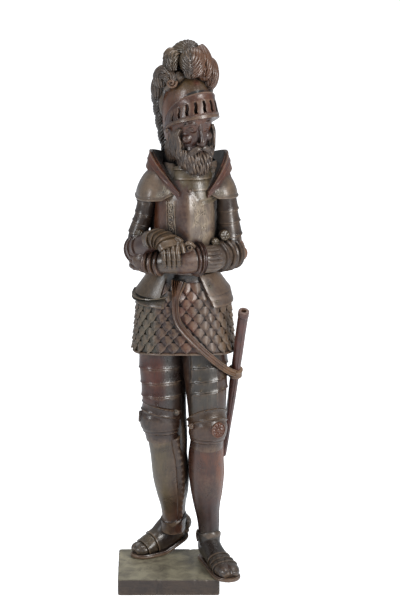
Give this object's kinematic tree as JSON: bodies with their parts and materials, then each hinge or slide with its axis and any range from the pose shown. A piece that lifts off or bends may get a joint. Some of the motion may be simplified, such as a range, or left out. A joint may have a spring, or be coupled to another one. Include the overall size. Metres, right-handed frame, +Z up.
{
  "type": "carved wooden knight statue",
  "caption": "Carved dark wood statue of a bearded knight in plate armour with a plumed helmet, arms folded, on a plain block plinth, for standing on a shelf",
  "frame": {"origin": "centre of the plinth's underside, on the surface it stands on", "axes": "+Z up, the statue faces -Y, +X is the statue's own left and the viewer's right"},
  "size_m": [0.1717, 0.1457, 0.7331],
  "materials": {
    "figure_wood": "carved walnut, dark stained and waxed, rubbed to grey-brown highlights with pale dust in the hollows",
    "scabbard_wood": "turned walnut, dark red-brown stain under wax, paler rim at the mouth",
    "plinth_wood": "plain sawn block, dark stained, worn grey-olive on top with small chips along the edges"
  },
  "bodies": {
    "root": {"knight_figure": "figure_wood", "scabbard": "scabbard_wood", "plinth": "plinth_wood"}
  },
  "joints": []
}
